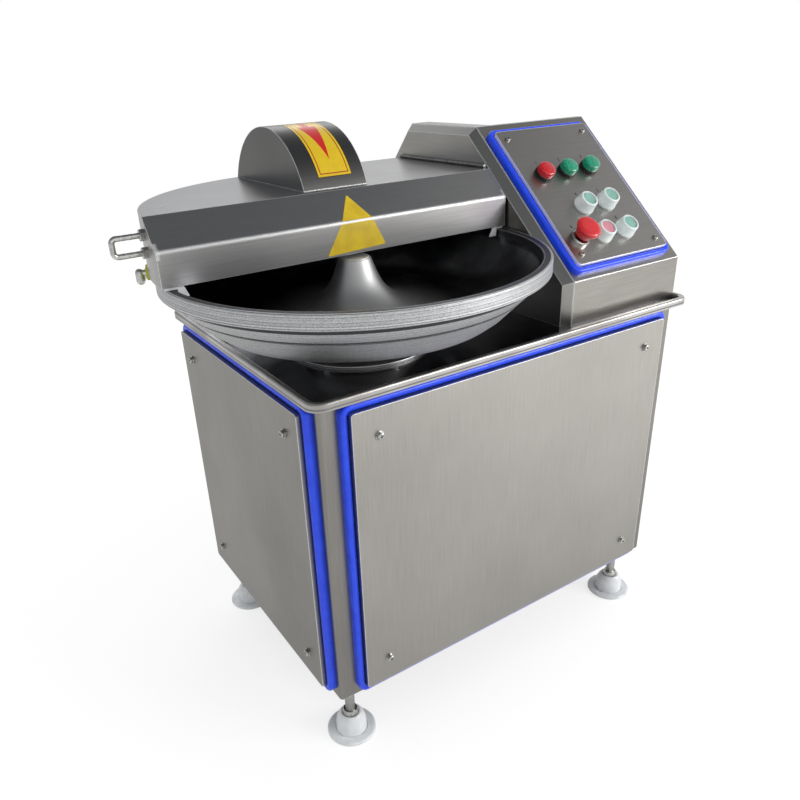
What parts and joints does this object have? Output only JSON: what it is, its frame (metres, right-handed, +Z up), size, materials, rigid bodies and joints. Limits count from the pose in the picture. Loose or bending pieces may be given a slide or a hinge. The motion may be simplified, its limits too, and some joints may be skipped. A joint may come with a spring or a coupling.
{
  "type": "bowl cutter",
  "caption": "Floor-standing stainless bowl cutter: cabinet on levelling feet, turning ring-trough bowl, knife shaft under a hinged lid, sloped control console.",
  "frame": {"origin": "on the floor, under the middle of the machine's box in X and Y", "axes": "+X to the machine's right side, +Y to its back, +Z up"},
  "size_m": [0.8716, 0.628, 0.9111],
  "materials": {
    "stainless": "brushed",
    "stainless_mirror": "polished",
    "stainless_matt": "turned, matt",
    "bright_steel": "bright",
    "zinc_steel": "plain",
    "knife_steel": "ground",
    "bearing_steel": "ground",
    "grey_cast": "painted",
    "motor_paint": "satin",
    "blue_silicone": "satin",
    "belt_rubber": "matte",
    "pad_plastic": "satin",
    "white_plastic": "satin",
    "black_plastic": "satin",
    "red_lens": "translucent",
    "green_lens": "translucent",
    "red_plastic": "gloss",
    "pink_plastic": "satin",
    "pale_green_plastic": "satin",
    "buffer_pu": "satin"
  },
  "bodies": {
    "cabinet": {"back_panel": "stainless", "belt_cover": "stainless", "bowl_bearings": "bearing_steel", "bowl_gearbox": "grey_cast", "bowl_motor": "motor_paint", "bowl_pedestal": "stainless_matt", "button_boots": "white_plastic", "cable_gland": "black_plastic", "console_box": "stainless", "control_plate": "stainless", "control_screws": "bright_steel", "corner_posts": "stainless", "drive_belts": "belt_rubber", "fixed_hinge_leaf": "stainless", "foot_lock_nuts": "bright_steel", "foot_pads": "pad_plastic", "foot_spindles": "bright_steel", "frame_plates": "zinc_steel", "frame_rails": "zinc_steel", "front_panel": "stainless", "green_lamp_lenses": "green_lens", "head_housing": "stainless", "hinge_pin": "bright_steel", "knife_bearing_housing": "grey_cast", "knife_bearings": "bearing_steel", "knife_motor": "motor_paint", "lamp_bezels": "black_plastic", "left_panel": "stainless", "lid_buffer": "buffer_pu", "lid_rest_arm": "stainless", "panel_screws": "bright_steel", "panel_seals": "blue_silicone", "panel_spacers": "bright_steel", "pedestal_bolts": "bright_steel", "red_lamp_lens": "red_lens", "right_panel": "stainless", "stop_collar": "bright_steel", "tray": "stainless_mirror"},
    "bowl_group": {"bowl": "stainless_matt", "bowl_cap_nut": "bright_steel", "bowl_spindle": "zinc_steel"},
    "knife_group": {"knife_blades": "knife_steel", "knife_spacers": "zinc_steel", "knife_lock_nut": "zinc_steel", "knife_shaft": "knife_steel", "knife_pulley": "grey_cast"},
    "motor_group": {"motor_shaft": "zinc_steel", "motor_pulley": "grey_cast"},
    "lid": {"lid_shell": "stainless", "lid_dome": "stainless", "lid_handle": "bright_steel", "lid_handle_nuts": "bright_steel", "lid_skirts": "white_plastic", "lid_hinge_leaf": "stainless"},
    "stop_press": {"stop_stem": "red_plastic"},
    "stop_head": {"stop_mushroom": "red_plastic"},
    "button_1": {"button_cap_1": "white_plastic"},
    "button_2": {"button_cap_2": "white_plastic"},
    "button_3": {"button_cap_3": "pink_plastic"},
    "button_4": {"button_cap_4": "pale_green_plastic"}
  },
  "joints": [
    {"name": "bowl_spin", "type": "hinge", "parent": "cabinet", "child": "bowl_group", "pos_m": [-0.10775, -0.034, 0.6], "axis": [0, 0, 1], "continuous": true},
    {"name": "knife_spin", "type": "hinge", "parent": "cabinet", "child": "knife_group", "pos_m": [0.22625, 0.1329, 0.7855], "axis": [1, 0, 0], "continuous": true},
    {"name": "motor_spin", "type": "hinge", "parent": "cabinet", "child": "motor_group", "pos_m": [0.30625, 0.1329, 0.212], "axis": [1, 0, 0], "continuous": true},
    {"name": "lid_hinge", "type": "hinge", "parent": "cabinet", "child": "lid", "pos_m": [0.17215, 0.131, 0.8325], "axis": [0, 1, 0], "range_deg": [0, 90]},
    {"name": "button_1_press", "type": "slide", "parent": "cabinet", "child": "button_1", "axis": [0, 0.665, -0.7469], "range_m": [0, 0.003], "stiffness_N_per_m": 300, "springref_m": -0.001},
    {"name": "button_2_press", "type": "slide", "parent": "cabinet", "child": "button_2", "axis": [0, 0.665, -0.7469], "range_m": [0, 0.003], "stiffness_N_per_m": 300, "springref_m": -0.001},
    {"name": "button_3_press", "type": "slide", "parent": "cabinet", "child": "button_3", "axis": [0, 0.665, -0.7469], "range_m": [0, 0.003], "stiffness_N_per_m": 300, "springref_m": -0.001},
    {"name": "button_4_press", "type": "slide", "parent": "cabinet", "child": "button_4", "axis": [0, 0.665, -0.7469], "range_m": [0, 0.003], "stiffness_N_per_m": 300, "springref_m": -0.001},
    {"name": "stop_press", "type": "slide", "parent": "cabinet", "child": "stop_press", "axis": [0, 0.665, -0.7469], "range_m": [0, 0.004], "stiffness_N_per_m": 600, "springref_m": -0.001},
    {"name": "stop_twist", "type": "hinge", "parent": "stop_press", "child": "stop_head", "pos_m": [0.23275, -0.15572, 0.74233], "axis": [0, -0.665, 0.7469], "range_deg": [0, 35], "stiffness_Nm_per_rad": 0.05}
  ],
  "couplings": [
    {"joint": "motor_spin", "follows": "knife_spin", "ratio": 0.81132}
  ]
}
